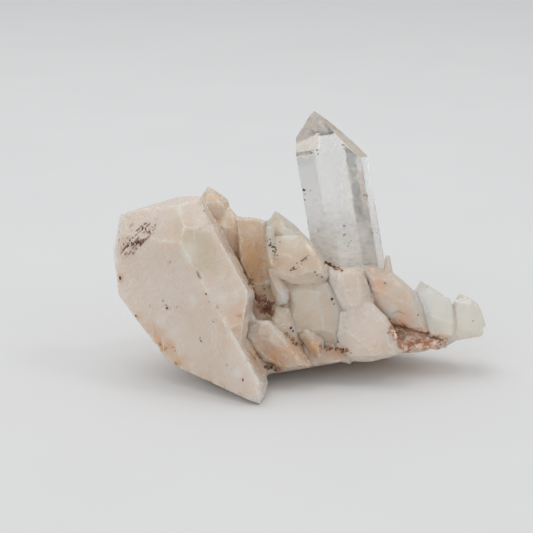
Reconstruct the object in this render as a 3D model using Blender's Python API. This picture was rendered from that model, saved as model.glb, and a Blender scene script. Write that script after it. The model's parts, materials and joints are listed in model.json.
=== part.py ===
"""Quartz crystal cluster in metres, +Z up: it rests on the floor with -Y facing the viewer.

Sizes below are in millimetres. Each piece is a block cut by its flat faces, so a crystal keeps the
constant angles of quartz: six sides 60 degrees apart, and end faces 51.8 degrees off the long axis.
"""

from math import cos, radians, sin

import bmesh
import bpy
from mathutils import Matrix, Vector, noise

MM = 0.001
GAP = 0.3
BLOCK = 160
END_FACE = radians(51.79)
SHEET_LEAN = 16
CAP = 12
FOOT = (0, 0, 0)

# Long axis and shared planes of the big milky crystal on the left
LEFT_TIP = (-7.6, -17.3, -0.5)
LEFT_HEADING = -37.8
LEFT_TILT = 141.8
LEFT_BREAKS = [
    (-128, 38, (-24.6, -10.2, 27.7)),
    (-174, 15, (-36.8, 2.3, 29.7)),
    (-169, -2, (-37.3, 0.8, 20.9)),
    (-163, -33, (-37.0, -0.3, 16.8)),
    (177, 77, (-28.8, 1.8, 35.3)),
    (145, 69, (-35.9, 2.7, 33.5)),
]
LEFT_TOP = [
    (-67, 54, (-23.2, -6.1, 33.0)),
    (120, 80, (-21.2, 0.3, 37.2)),
]


def facing(heading, rise):
    """Direction on a compass heading (0 = +X, 90 = away), lifted by rise degrees."""
    heading, rise = radians(heading), radians(rise)
    return Vector((cos(heading) * cos(rise), sin(heading) * cos(rise), sin(rise)))


RIGHT = Vector((1, 0, 0))
FRONT = facing(-90, SHEET_LEAN)
UP = FRONT.cross(RIGHT)


def crystal(tip, heading, tilt, spin, sides, setbacks, length, breaks=(), inset=0.0):
    """Planes of one quartz crystal: side distances from its axis, end faces set back from the tip, and breaks."""
    tip = Vector(tip)
    axis = facing(heading, 90 - tilt)
    front = Vector((0, -1, 0))
    front = (front - axis * front.dot(axis)).normalized()
    side = axis.cross(front)
    planes = [(-axis, tip - axis * length)]
    for k, (distance, setback) in enumerate(zip(sides, setbacks)):
        turn = radians(spin + 60 * k)
        outward = front * cos(turn) + side * sin(turn)
        planes.append((outward, tip + outward * distance))
        end = outward * sin(END_FACE) + axis * cos(END_FACE)
        planes.append((end, tip - axis * setback))
    return planes + [(facing(h, r), Vector(p) - facing(h, r) * inset) for h, r, p in breaks]


def lump(outline, near, leans, faces, depth=7):
    """Planes of a grown lump: an outline drawn on the leaning sheet, near mm in front of the middle.

    Each side of the outline slopes by its lean toward the viewer, faces are (direction on the sheet,
    slope, distance) and the back lies depth behind the sheet.
    """
    corners = [RIGHT * u + UP * v + FRONT * near for u, v in outline]
    middle = sum(corners, Vector()) / len(corners)
    if isinstance(leans, int):
        leans = [leans] * len(corners)
    planes = [(-FRONT, middle - FRONT * depth)]
    for i, lean in enumerate(leans):
        start, stop = corners[i - 1], corners[i]
        along = (stop - start).normalized()
        out = along.cross(FRONT).normalized()
        if out.dot(middle - start) > 0:
            out.negate()
        for slope in (radians(lean), -radians(CAP)):
            planes.append((out * cos(slope) + FRONT * sin(slope), start))
    for direction, slope, distance in faces:
        across = RIGHT * cos(radians(direction)) + UP * sin(radians(direction))
        outward = FRONT * cos(radians(slope)) + across * sin(radians(slope))
        planes.append((outward, middle + outward * distance))
    return planes


def rough(middle, radii, seed, underside):
    """A rough block of matrix rock with ledges, and a bumpy sloping underside."""
    heading, rise, point = underside
    slope = (facing(heading, rise), Vector(point))
    return {"middle": Vector(middle), "radii": radii, "seed": seed, "underside": slope}


# The pieces of each node, in the order they take the space they share
NODES = {
    "tall_clear_crystal": [
        crystal((4.1, 17, 52.4), 127.3, 15.6, 19, (8.2, 8.2, 7.7, 7.0, 5.1, 7.0),
                (-1.4, 1.0, -2, 0, -1.4, -0.8), 44),
    ],
    "left_milky_crystal": [
        crystal(LEFT_TIP, LEFT_HEADING, LEFT_TILT, 30, (3.0, 16.5, 11.6, 9, 2.7, 5.34),
                (-2, 0, -2, -2, 0, -3), 49, LEFT_BREAKS, 0.03),
        crystal(LEFT_TIP, LEFT_HEADING, LEFT_TILT, 30, (3.0, 17.3, 13.8, 11, 8.9, 5.3),
                (9, 6, 9, 9, 9, 9), 56, LEFT_BREAKS + LEFT_TOP),
        lump([(-12.0, 16.5), (-9.9, 15.5), (-9.0, 10.5), (-7.9, 3.5), (-7.4, -0.5), (-10.2, 2.7),
              (-13.2, 8.5), (-13.2, 13.7)], 9, 25, [(20, 10, 0.8)], 10),
    ],
    "centre_crystal": [
        crystal((-4.5, 3.7, 34.6), 190, 9, 28, (4.6, 5.5, 4, 4, 2.6, 3.0), (0, 1.5, 0, 0, 0, 0.4), 24),
        lump([(-5.6, 28.3), (0.5, 28.5), (2.6, 26.7), (5.6, 22.2), (5.8, 19.4), (2.6, 18.3),
              (-1.9, 18.5), (-6.4, 21.0), (-6.8, 25.5)], 8.5,
             [40, 60, 55, 30, 30, 40, 45, 45, 35], [(60, 25, 2.2), (220, 20, 2.4)], 10),
        lump([(-6.8, 30.3), (-5.2, 30.7), (-4.6, 25.5), (-4.8, 21.8), (-6.4, 21.8), (-7.0, 27.5)],
             9.5, 30, [(180, 20, 1.4)], 4),
        lump([(-6.4, 21.4), (-4.8, 20.6), (-1.9, 17.5), (-2.1, 14.9), (-4.4, 14.1), (-5.6, 16.9)],
             8.5, 30, [(100, 25, 1.6)], 6),
        lump([(-4.4, 17.1), (-2.7, 16.9), (-1.9, 15.7), (-2.5, 14.5), (-4.0, 14.3), (-5.0, 15.3)],
             9.6, 45, [(60, 20, 0.9)], 4),
        lump([(-2.3, 17.6), (0.5, 18.9), (4.0, 19.6), (5.8, 19.0), (7.2, 15.9), (8.6, 12.0),
              (8.5, 8.5), (7.6, 6.6), (4.4, 6.9), (0.7, 7.6), (-1.2, 8.7), (-2.0, 12.8)], 8,
             [40, 45, 45, 30, 35, 30, 35, 40, 45, 45, 35, 30], [(170, 12, 2.0), (20, 20, 2.4)], 10),
        lump([(-6.2, 28.5), (0.3, 29.5), (3.0, 26.9), (5.9, 22.2), (7.2, 17.3), (8.6, 11.6),
              (8.2, 6.8), (0.8, 7.8), (-1.7, 9.5), (-4.2, 14.0), (-6.4, 21.0)], 7.2, 20,
             [(90, 5, 0.6)], 10),
        lump([(-10.1, 17.3), (-6.4, 18.1), (-1.9, 15.2), (-1.4, 8.0), (-7.6, 9.0), (-10.9, 11.5)],
             4.5, 15, [(60, 12, 0.7)], 8),
    ],
    "pink_crystal": [
        lump([(12.9, 22.0), (15.5, 22.0), (19.3, 20.9), (22.4, 18.6), (24.2, 16.6), (25.6, 12.5),
              (26.4, 8.6), (22.4, 8.9), (18.6, 11.0), (15.4, 14.2), (13.4, 17.6)], 5,
             [40, 45, 45, 35, 35, 30, 25, 30, 35, 35, 35], [(60, 24, 2.6), (250, 16, 2.8)], 9),
        lump([(17.7, 24.5), (18.8, 24.5), (19.4, 21.0), (19.2, 18.3), (17.5, 18.3)], 4.5, 20,
             [(0, 20, 0.9)], 3),
    ],
    "front_milky_crystal": [
        lump([(5.9, 21.4), (9.3, 22.0), (12.8, 22.0), (14.0, 18.5), (14.7, 15.5), (13.2, 12.2),
              (8.7, 12.4), (7.1, 15.5), (6.1, 18.7)], 7.3,
             [35, 35, 30, 40, 50, 50, 40, 30, 30], [(200, 18, 2.4), (20, 12, 2.0)], 8),
        lump([(7.9, 12.8), (12.6, 14.6), (14.9, 14.8), (17.5, 12.0), (19.1, 10.0), (20.6, 7.1),
              (21.6, 4.7), (19.3, 3.7), (14.8, 2.6), (10.5, 2.7), (7.9, 6.0), (7.3, 9.5)], 8,
             [40, 45, 35, 35, 30, 30, 30, 30, 30, 30, 30, 30],
             [(100, 12, 1.8), (0, 14, 2.6), (190, 14, 2.6)], 10),
        lump([(6.1, 21.2), (12.9, 22.0), (14.9, 15.9), (15.5, 11.0), (7.0, 10.5), (6.3, 17.3)],
             6.4, 15, [(90, 8, 0.6)], 8),
        lump([(7.1, 12.5), (13.0, 14.5), (17.6, 12.0), (20.6, 7.1), (21.7, 4.6), (17.1, 3.6),
              (10.6, 2.8), (7.9, 6.0)], 6.8, 15, [(90, 8, 0.6)], 8),
    ],
    "right_clear_crystals": [
        crystal((25.6, 3.5, 19.3), 200, 14, 30, (3.2, 4.2, 4, 3, 2.2, 2.4), (0, 0.8, 0, 0, 0, 0.5), 15),
        lump([(24.7, 17.2), (31.3, 15.6), (32.5, 11.0), (32.3, 6.9), (27.2, 7.9), (24.9, 12.3)], 3,
             20, [(80, 25, 2.0), (220, 15, 2.4)], 8),
        crystal((33.8, 3.8, 16.8), 200, 20, 40, (3.0, 2.4, 2.8, 3, 3, 2.6), (0, 1.2, 0, 0, 0, 0.6), 9),
        lump([(32.4, 15.2), (36.0, 15.6), (37.0, 13.9), (38.1, 11.8), (38.5, 8.1), (37.2, 7.3),
              (33.5, 6.8), (31.4, 6.4)], 2, 20, [(20, 25, 2.0), (180, 20, 2.2)], 8),
    ],
    "front_stub_crystals": [
        lump([(-9.6, 9.8), (-8.4, 11.2), (-6.2, 11.3), (-3.0, 8.6), (0.4, 5.2), (2.9, 2.2),
              (2.0, 1.5), (-3.4, 1.1), (-7.2, 3.2), (-9.6, 6.0), (-10.6, 8.0)], 10,
             [35, 45, 45, 40, 40, 40, 30, 25, 30, 30, 30], [(60, 24, 1.9), (230, 16, 1.8)], 8),
        lump([(-4.6, 13.6), (-2.2, 13.4), (-0.7, 10.0), (0.6, 6.6), (1.4, 3.0), (0.5, 1.9),
              (-4.0, 4.0), (-6.0, 8.5), (-5.8, 11.5)], 8.2, 35, [(200, 10, 1.4)], 8),
        lump([(0.5, 9.4), (1.5, 9.8), (3.0, 8.6), (4.6, 7.0), (5.0, 5.5), (4.8, 3.7), (3.8, 2.9),
              (1.5, 5.7), (0.3, 8.0)], 9, 35, [(60, 20, 1.5), (220, 25, 1.6)], 6),
        lump([(-9.6, 2.6), (-7.2, 3.0), (-3.1, 1.6), (-5.8, 0.2), (-8.2, -0.4)], 8.5, 25,
             [(80, 20, 0.9)], 5),
        lump([(2.0, 6.2), (9.6, 5.6), (10.8, 4.6), (10.8, 2.8), (7.5, 2.4), (1.4, 1.6)], 7, 15,
             [(0, 10, 1.0)], 8),
        lump([(-9.7, 9.1), (-7.6, 11.0), (-1.3, 11.0), (5.2, 8.3), (9.5, 6.5), (11.0, 4.4),
              (11.0, 2.8), (3.8, 1.6), (-3.1, 0.5), (-7.6, -0.3), (-9.3, 2.2)], 7.2, 15,
             [(90, 10, 0.8)], 9),
    ],
    "back_left_crystals": [
        crystal((-18.7, 9.9, 38.0), 170, 10, 10, (2.8, 3, 3, 3, 2.6, 2.8), (0, 0.5, 0, 0, 0, 0), 26),
        crystal((-14.5, 7.6, 33.9), 60, 6, 20, (3, 3, 4, 4, 4, 3), (0, 0, 0, 0, 0, 0), 26),
        lump([(-13.5, 33.4), (-12.2, 33.2), (-10.1, 32.8), (-8.5, 32.2), (-6.4, 32.0),
              (-5.1, 23.5), (-5.6, 15.1), (-8.5, 14.5), (-12.6, 23.0)], 1.5, 12,
             [(80, 40, 5.5), (20, 10, 2.5)], 8),
    ],
    "rear_left_crystal": [
        crystal((-22, 15.5, 31.5), 112, 14, 15, (5.4, 5.8, 5.6, 6.0, 5.2, 5.6), (0, 0.6, 0, 1.2, 0, 0.4), 26),
    ],
    "rear_middle_crystal": [
        crystal((-9, 21, 25.5), 95, 24, 5, (5.2, 5.4, 5.0, 5.6, 5.2, 5.4), (0, 1.0, 0, 0.5, 0, 0.2), 23),
    ],
    "rear_right_crystal": [
        crystal((13, 25.5, 15), 75, 62, 20, (4.0, 4.2, 3.6, 4.2, 3.8, 4.0), (0.3, 0, 0.8, 0, 1.0, 0), 15),
    ],
    "rear_low_left_crystal": [
        crystal((-16, 26, 10.5), 108, 66, 35, (4.2, 4.0, 4.4, 4.0, 4.3, 4.1), (0, 0.7, 0, 0, 0.9, 0.2), 16),
    ],
    "rear_low_right_crystal": [
        crystal((25, 15, 10), 40, 62, 10, (3.1, 3.3, 2.9, 3.2, 3.4, 3.0), (0, 0.5, 0, 0.9, 0, 0), 10),
    ],
    "rear_small_crystal": [
        crystal((2, 26, 9.5), 92, 66, 30, (3.2, 3.4, 3.0, 3.3, 3.4, 3.2), (0, 0.4, 0, 0.6, 0, 0), 14),
    ],
    "iron_stained_matrix": [
        lump([(17.4, 14.0), (24.0, 12.5), (29.5, 10.5), (31.2, 7.0), (30.8, 5.4), (26.7, 4.7),
              (23.4, 3.3), (20.1, 4.3)], 1.5, 20, [(90, 30, 1.5)], 9),
        rough((-1, 10, 7.5), (23, 10, 8.8), 3, (-78, -75, (6, 12, 0))),
    ],
}

COLOURS = {
    "tall_clear_crystal": (0.80, 0.80, 0.78),
    "left_milky_crystal": (0.62, 0.54, 0.47),
    "centre_crystal": (0.58, 0.48, 0.40),
    "pink_crystal": (0.60, 0.44, 0.34),
    "front_milky_crystal": (0.58, 0.50, 0.43),
    "right_clear_crystals": (0.66, 0.60, 0.54),
    "front_stub_crystals": (0.50, 0.37, 0.29),
    "back_left_crystals": (0.52, 0.38, 0.28),
    "iron_stained_matrix": (0.33, 0.16, 0.10),
}
REAR_COLOUR = (0.60, 0.52, 0.45)


def cut_off(bm, point, outward):
    """Cuts away what lies past a plane, and closes the cut with one flat face."""
    cut = bmesh.ops.bisect_plane(
        bm,
        geom=bm.verts[:] + bm.edges[:] + bm.faces[:],
        dist=1e-8,
        plane_co=point * MM,
        plane_no=outward,
        clear_outer=True,
    )
    rim = [e for e in cut["geom_cut"] if isinstance(e, bmesh.types.BMEdge)]
    if rim:
        bmesh.ops.contextual_create(bm, geom=rim)


def block_mesh(name, planes, grow=0.0):
    """A closed mesh in metres: a big block cut down by every plane, each moved out by grow."""
    bm = bmesh.new()
    bmesh.ops.create_cube(bm, size=BLOCK * MM)
    for outward, point in [*planes, (Vector((0, 0, -1)), Vector(FOOT))]:
        cut_off(bm, point + outward * grow, outward)
    bmesh.ops.remove_doubles(bm, verts=bm.verts, dist=1e-7)
    bmesh.ops.recalc_face_normals(bm, faces=bm.faces)
    return finished_mesh(bm, name)


def rough_mesh(name, blob, grow=0.0):
    """A closed rough boulder in metres, squarer than a ball, stepped by ledges and flat on the floor."""
    bm = bmesh.new()
    bmesh.ops.create_icosphere(bm, subdivisions=4, radius=1)
    down, foot = blob["underside"]
    shift = Vector((blob["seed"], 0, 0))
    for vert in bm.verts:
        way = vert.co.normalized()
        reach = sum(abs(part) ** 3.2 for part in way) ** (-1 / 3.2)
        lift = noise.fractal(way * 2.4 + shift, 0.9, 2.0, 4)
        ledge = round(lift * 6) / 6
        size = reach * (1 + 0.10 * ledge + 0.05 * lift)
        spot = blob["middle"] + Vector([way[i] * blob["radii"][i] * size for i in range(3)])
        slope_z = foot.z - (down.x * (spot.x - foot.x) + down.y * (spot.y - foot.y)) / down.z
        bump = 0.7 * noise.noise(spot * 0.45 + shift)
        spot.z = max(spot.z, slope_z + bump, FOOT[2])
        vert.co = (spot + way * grow) * MM
    bmesh.ops.recalc_face_normals(bm, faces=bm.faces)
    return finished_mesh(bm, name)


def finished_mesh(bm, name):
    mesh = bpy.data.meshes.new(name)
    bm.to_mesh(mesh)
    bm.free()
    return mesh


def piece_object(name, piece, home, grow=0.0):
    mesh = rough_mesh(name, piece, grow) if isinstance(piece, dict) else block_mesh(name, piece, grow)
    obj = bpy.data.objects.new(name, mesh)
    home.objects.link(obj)
    return obj


def combine(obj, others, operation):
    """Joins or cuts obj with the other objects, and keeps the result as its mesh."""
    for other in others:
        modifier = obj.modifiers.new(other.name, "BOOLEAN")
        modifier.object = other
        modifier.operation = operation
        modifier.solver = "EXACT"
    bpy.context.view_layer.update()
    graph = bpy.context.evaluated_depsgraph_get()
    mesh = bpy.data.meshes.new_from_object(obj.evaluated_get(graph))
    obj.modifiers.clear()
    obj.data = mesh


def keep_largest(obj):
    """Drops the crumbs that a cut leaves, and cleans thin faces."""
    bm = bmesh.new()
    bm.from_mesh(obj.data)
    bmesh.ops.remove_doubles(bm, verts=bm.verts, dist=2e-6)
    bmesh.ops.dissolve_degenerate(bm, edges=bm.edges, dist=2e-6)
    groups, seen = [], set()
    for vert in bm.verts:
        if vert in seen:
            continue
        group, queue = [], [vert]
        seen.add(vert)
        while queue:
            here = queue.pop()
            group.append(here)
            for edge in here.link_edges:
                there = edge.other_vert(here)
                if there not in seen:
                    seen.add(there)
                    queue.append(there)
        groups.append(group)
    groups.sort(key=len, reverse=True)
    for group in groups[1:]:
        bmesh.ops.delete(bm, geom=group, context="VERTS")
    bmesh.ops.triangulate(bm, faces=bm.faces)
    bm.to_mesh(obj.data)
    bm.free()


def settle(obj, colour, parent):
    """Moves the object's own origin to its middle, and gives it a material."""
    corners = [vert.co for vert in obj.data.vertices]
    low = Vector([min(corner[i] for corner in corners) for i in range(3)])
    high = Vector([max(corner[i] for corner in corners) for i in range(3)])
    middle = (low + high) / 2
    obj.data.transform(Matrix.Translation(-middle))
    obj.location = middle
    obj.parent = parent
    material = bpy.data.materials.new(obj.name)
    material.use_nodes = True
    shader = material.node_tree.nodes["Principled BSDF"]
    shader.inputs["Base Color"].default_value = (*colour, 1)
    shader.inputs["Roughness"].default_value = 0.35
    shader.inputs["Metallic"].default_value = 0
    material.diffuse_color = (*colour, 1)
    obj.data.materials.clear()
    obj.data.materials.append(material)
    return low, high


def main():
    for obj in list(bpy.data.objects):
        bpy.data.objects.remove(obj)
    cluster = bpy.data.collections.new("quartz_crystal_cluster")
    cutters = bpy.data.collections.new("cutters")
    for collection in (cluster, cutters):
        bpy.context.scene.collection.children.link(collection)
    cutters.hide_render = True
    root = bpy.data.objects.new("cluster_root", None)
    cluster.objects.link(root)
    earlier, lows, highs = [], [], []
    for name, pieces in NODES.items():
        body = piece_object(name, pieces[0], cluster)
        joined = [piece_object(f"{name}_join_{i}", p, cutters) for i, p in enumerate(pieces[1:])]
        combine(body, joined, "UNION")
        combine(body, earlier, "DIFFERENCE")
        keep_largest(body)
        colour = COLOURS.get(name, REAR_COLOUR)
        low, high = settle(body, colour, root)
        lows.append(low)
        highs.append(high)
        earlier += [piece_object(f"{name}_cut_{i}", p, cutters, GAP) for i, p in enumerate(pieces)]
        for helper in cutters.objects:
            helper.hide_render = True
            helper.display_type = "WIRE"
    for axis in (0, 1):
        root.location[axis] = -(min(p[axis] for p in lows) + max(p[axis] for p in highs)) / 2


main()
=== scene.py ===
"""Looks of a quartz crystal cluster: clear and milky crystals, iron stains, dirt and rough matrix rock.

Lengths in the tables are in millimetres. Pixel pairs are places in a 533 pixel view from the camera.
"""

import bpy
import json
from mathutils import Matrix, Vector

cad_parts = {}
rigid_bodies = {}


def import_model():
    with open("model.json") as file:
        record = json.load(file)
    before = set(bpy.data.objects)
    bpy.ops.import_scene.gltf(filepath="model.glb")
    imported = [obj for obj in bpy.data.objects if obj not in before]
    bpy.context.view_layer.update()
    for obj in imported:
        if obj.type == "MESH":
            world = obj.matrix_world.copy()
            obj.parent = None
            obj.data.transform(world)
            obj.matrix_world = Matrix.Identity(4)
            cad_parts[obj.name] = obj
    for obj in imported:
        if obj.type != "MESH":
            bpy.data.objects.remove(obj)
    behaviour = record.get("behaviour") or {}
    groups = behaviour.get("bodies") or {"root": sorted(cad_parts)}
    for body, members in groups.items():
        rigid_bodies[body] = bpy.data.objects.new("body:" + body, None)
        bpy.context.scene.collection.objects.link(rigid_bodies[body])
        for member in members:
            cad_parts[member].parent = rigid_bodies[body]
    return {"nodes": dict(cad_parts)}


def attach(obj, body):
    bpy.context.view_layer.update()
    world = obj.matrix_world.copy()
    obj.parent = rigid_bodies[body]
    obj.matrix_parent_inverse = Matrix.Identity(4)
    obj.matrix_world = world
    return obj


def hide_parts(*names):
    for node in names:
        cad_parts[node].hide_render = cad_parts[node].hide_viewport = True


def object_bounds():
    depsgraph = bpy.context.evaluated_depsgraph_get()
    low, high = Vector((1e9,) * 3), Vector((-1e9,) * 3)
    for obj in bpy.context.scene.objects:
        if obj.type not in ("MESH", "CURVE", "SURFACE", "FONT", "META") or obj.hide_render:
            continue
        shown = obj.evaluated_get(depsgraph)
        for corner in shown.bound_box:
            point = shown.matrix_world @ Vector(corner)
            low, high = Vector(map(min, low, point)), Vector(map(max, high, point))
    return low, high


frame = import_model()
CAD_BOX = [[float(x) for x in corner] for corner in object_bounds()]

import json
from math import cos, pi, radians, sin

import bmesh
import bpy
import numpy as np
from bpy.props import FloatProperty, FloatVectorProperty, IntProperty, PointerProperty
from mathutils import Vector
from mathutils.bvhtree import BVHTree

bl_info = {
    "name": "Quartz crystal cluster",
    "version": (1, 0, 0),
    "blender": (4, 5, 0),
    "location": "3D View > Sidebar > Quartz",
    "description": "Dresses a quartz crystal cluster with worn facets, stains, veils and dirt",
    "category": "Object",
}

MM = 0.001
VIEW_PIXELS = 533
VIEW_TARGET = (-7.028, -2.655, 23.0)
VIEW_DISTANCE = 333.9
SENSOR_WIDTH = 36

# Node: finish, slot, waves, growth steps, scoops and rounding of edges in mm, chipping from 0 to 1
CRYSTALS = {
    "tall_clear_crystal": ("clear_quartz", "clear_quartz", 0.0, 0.010, 0.0, 0.12, 0.25),
    "left_milky_crystal": ("milky_quartz", "milky_quartz", 0.10, 0.035, 0.0, 0.35, 1.0),
    "centre_crystal": ("glassy_quartz", "stained_quartz", 0.16, 0.020, 0.30, 0.50, 0.8),
    "pink_crystal": ("pink_quartz", "pink_quartz", 0.16, 0.020, 0.25, 0.60, 0.8),
    "front_milky_crystal": ("milky_quartz", "milky_quartz", 0.16, 0.020, 0.28, 0.60, 1.0),
    "right_clear_crystals": ("frosty_quartz", "clear_quartz", 0.14, 0.025, 0.15, 0.35, 0.9),
    "front_stub_crystals": ("stained_quartz", "stained_quartz", 0.14, 0.025, 0.30, 0.45, 1.0),
    "back_left_crystals": ("peach_quartz", "stained_quartz", 0.10, 0.030, 0.0, 0.30, 0.8),
}
# Crystals behind: finish and slot, and the numbers that they all share
REAR_WEAR = (0.05, 0.030, 0.0, 0.22, 0.7)
REAR_CRYSTALS = {
    "rear_left_crystal": ("milky_quartz", "milky_quartz"),
    "rear_middle_crystal": ("peach_quartz", "stained_quartz"),
    "rear_right_crystal": ("milky_quartz", "milky_quartz"),
    "rear_low_left_crystal": ("milky_quartz", "milky_quartz"),
    "rear_low_right_crystal": ("milky_quartz", "milky_quartz"),
    "rear_small_crystal": ("milky_quartz", "milky_quartz"),
}
# How far a crystal grows, in mm: to close the gap to a neighbour, to join one, and deep in a crevice
GAP_GROWTH, JOIN_GROWTH, CREVICE_GROWTH = 0.13, 0.7, 0.3
# Grids that show where surfaces lie: size of a cell in mm, and reach of the blur in cells
NEAR_GRID, WIDE_GRID, CREVICE_GRID = (0.25, 1.2), (0.5, 2.0), (0.6, 2.2)
# How full a grid is where a neighbour touches, where rock touches, where two join, and at a shared rim
TOUCHING, ROCK_TOUCHING, JOINED, SHARED_RIM = 0.22, 0.12, 0.26, 0.10
# How far in front of a surface the near grid and the crevice grid are read
PROBE, CREVICE_PROBE = 0.3 * MM, 0.9 * MM
# Crowding over its median where a crevice starts, and how much more there is in its depth
CREVICE_START, CREVICE_RANGE = 1.25, 1.3
# Places sampled on each square millimetre of a surface, and passes that fill its hollow creases
SAMPLES_PER_MM2, HOLLOW_PASSES = 30, 40
# The rock's surface, in mm: height of its waves and of its ledges, depth of its pits, and shift inward
ROCK_WAVES, ROCK_LEDGES, ROCK_PITS, ROCK_SHIFT = 0.28, 0.35, 0.9, 0.1
# The tall crystal is milky below this height, fully so this much lower, in mm
ROOT_TOP, ROOT_FADE = 34, 13
# How much a surface bends, in degrees, where its shading splits
CLEAR_SHARP, CLOUDY_SHARP, ROCK_SHARP, GRAIN_SHARP, POINT_SHARP = 18, 34, 40, 50, 20

# Where iron has stained the crystals: pixel across, pixel down, radius in mm, amount
STAINS = [
    (236, 236, 5.0, 0.25), (250, 262, 4.0, 0.55), (256, 286, 3.6, 0.55), (262, 303, 2.6, 1.0),
    (268, 312, 2.2, 1.1), (243, 322, 3.2, 0.6), (252, 348, 3.5, 0.5), (258, 366, 3.0, 0.7),
    (158, 334, 2.0, 0.9), (168, 346, 2.2, 0.9), (120, 278, 1.2, 0.7), (380, 290, 3.0, 0.3),
    (366, 283, 4.0, 0.4), (398, 303, 3.0, 0.25), (300, 352, 4.0, 0.5), (378, 262, 3.0, 0.4),
    (340, 352, 2.2, 0.8), (275, 362, 3.0, 0.8), (218, 226, 2.4, 0.35), (290, 262, 2.6, 0.35),
    (295, 320, 4.0, 0.35), (402, 322, 2.6, 0.7), (405, 340, 3.0, 1.7), (420, 346, 3.0, 1.5),
    (435, 344, 3.0, 1.4), (318, 348, 2.4, 0.7), (296, 340, 1.8, 0.5), (273, 262, 1.6, 0.8),
    (330, 268, 1.6, 1.1), (240, 300, 2.0, 0.3), (182, 362, 1.6, 0.8), (210, 380, 1.4, 0.6),
    (139, 318, 1.4, 0.5), (162, 350, 1.0, 0.9), (176, 364, 1.0, 0.9), (200, 377, 0.9, 0.9),
    (222, 386, 0.9, 0.9), (240, 395, 0.9, 0.8), (189, 372, 0.9, 0.8),
]
# Where the quartz is clearer and has a faint olive cast, in the same way
OLIVE = [(194, 240, 3.6, 1.0), (200, 256, 3.4, 0.8), (214, 262, 4.0, 0.5), (258, 240, 4.0, 0.3),
         (282, 318, 4.0, 0.4), (286, 340, 3.5, 0.4)]
# Where veils of tiny bubbles make the quartz white, in the same way; the spot at pixel 292, 224 is instead a
# painted highlight on the centre crystal's point
VEILS_AND_HIGHLIGHT = [
    (186, 256, 3.0, 0.8), (193, 300, 1.4, 1.0), (160, 322, 1.6, 1.0), (196, 212, 3.4, 0.6),
    (237, 373, 1.3, 1.4), (268, 230, 1.6, 0.8), (270, 255, 1.8, 0.7), (335, 293, 3.0, 0.5),
    (330, 330, 4.0, 0.25), (455, 304, 2.6, 0.8), (425, 300, 4.0, 0.6), (282, 298, 1.6, 1.2),
    (290, 236, 2.0, 1.0), (350, 250, 5.0, 0.5), (312, 205, 3.0, 0.3), (247, 318, 1.4, 0.7),
    (390, 312, 1.8, 1.0), (196, 340, 2.2, 0.5), (222, 300, 1.8, 0.6), (305, 300, 3.0, 0.4),
    # Painted highlight: the first spot below whitens the centre crystal's point where it glints
    (292, 224, 1.2, 0.6), (248, 297, 0.5, 1.5), (247, 304, 0.5, 1.5), (245, 311, 0.5, 1.5),
    (244, 318, 0.5, 1.4), (243, 325, 0.5, 1.2), (393, 308, 0.8, 1.4), (428, 296, 1.2, 1.0),
]
# Where short brown dashes lie along the growth lines, in the same way
DASHES = [(143, 232, 2.0, 1.3), (130, 247, 2.0, 1.4), (150, 227, 1.6, 1.2), (137, 240, 1.4, 1.0)]
# End faces of the tall crystal that dust has settled on: pixel across, pixel down, amount
DUSTY_FACES = [(348, 140, 1.0), (303, 128, 0.75), (325, 135, 0.2), (362, 215, 0.12)]
# Where the tall crystal is hazy, as pixel across, pixel down, radius in mm, amount
HAZE = [(312, 114, 2.2, 0.8), (322, 124, 2.0, 0.8), (299, 149, 1.7, 1.0), (306, 149, 1.5, 1.0),
        (349, 160, 2.6, 0.35), (352, 178, 3.0, 0.4), (354, 200, 3.4, 0.45), (358, 225, 3.4, 0.45),
        (362, 245, 3.4, 0.4)]
# Crystal points that kept their sharp smooth faces, in the same way as the stains
FRESH = [(288, 220, 4.2, 1.6), (300, 232, 3.0, 1.0), (422, 286, 2.6, 1.2), (456, 301, 2.0, 1.0)]


# Noise and mesh arrays

def lattice(i, j, k, seed):
    """A fixed random value from -1 to 1 for each whole-number point (i, j, k)."""
    mix = (i * 374761393 + j * 668265263 + k * 1442695041 + seed * 974634777) & 0xFFFFFFFF
    mix = ((mix ^ (mix >> 13)) * 1274126177) & 0xFFFFFFFF
    return ((mix ^ (mix >> 16)) & 0xFFFF) / 32767.5 - 1


CUBE = np.array([[corner & 1, corner >> 1 & 1, corner >> 2 & 1] for corner in range(8)])


def noise(points, size, seed):
    """Smooth noise with bumps about size mm apart: lattice values, weighted by f * f * (3 - 2 f)."""
    place = points / (size * MM) + 512.5
    low = np.floor(place).astype(np.int64)
    part = place - low
    part = part * part * (3 - 2 * part)
    total = np.zeros(len(points))
    for step in CUBE:
        total += np.prod(np.where(step, part, 1 - part), axis=1) * lattice(*(low + step).T, seed)
    return total


def cloud(points, size, seed, octaves=4):
    """Several layers of noise, each half as large and half as strong as the one before."""
    return sum(noise(points, size / 2**n, seed + n) / 2**n for n in range(octaves))


def bowls(points, size, seed):
    """Shallow bowls with sharp rims: squared distance to the nearest of scattered middles, one a cell."""
    place = points / (size * MM) + 300.5
    low = np.floor(place).astype(np.int64)
    nearest = np.full(len(points), 9.0)
    for corner in range(27):
        cell = low + np.array([corner % 3 - 1, corner // 3 % 3 - 1, corner // 9 - 1])
        middle = cell + 0.5 + 0.45 * np.stack([lattice(*cell.T, seed + n) for n in range(3)], axis=1)
        nearest = np.minimum(nearest, ((place - middle) ** 2).sum(axis=1))
    return np.clip(nearest, 0, 1)


def merged_faces(node):
    """The node's surface, its loose triangles merged and those of a flat face joined and cut again."""
    bm = bmesh.new()
    bm.from_mesh(frame["nodes"][node].data)
    bmesh.ops.remove_doubles(bm, verts=bm.verts, dist=2e-6)
    bmesh.ops.dissolve_limit(bm, angle_limit=radians(0.4), verts=bm.verts, edges=bm.edges)
    bmesh.ops.triangulate(bm, faces=bm.faces)
    bm.verts.index_update()
    points = np.array([v.co for v in bm.verts])
    faces = np.array([[v.index for v in f.verts] for f in bm.faces])
    bm.free()
    return points, faces


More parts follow.
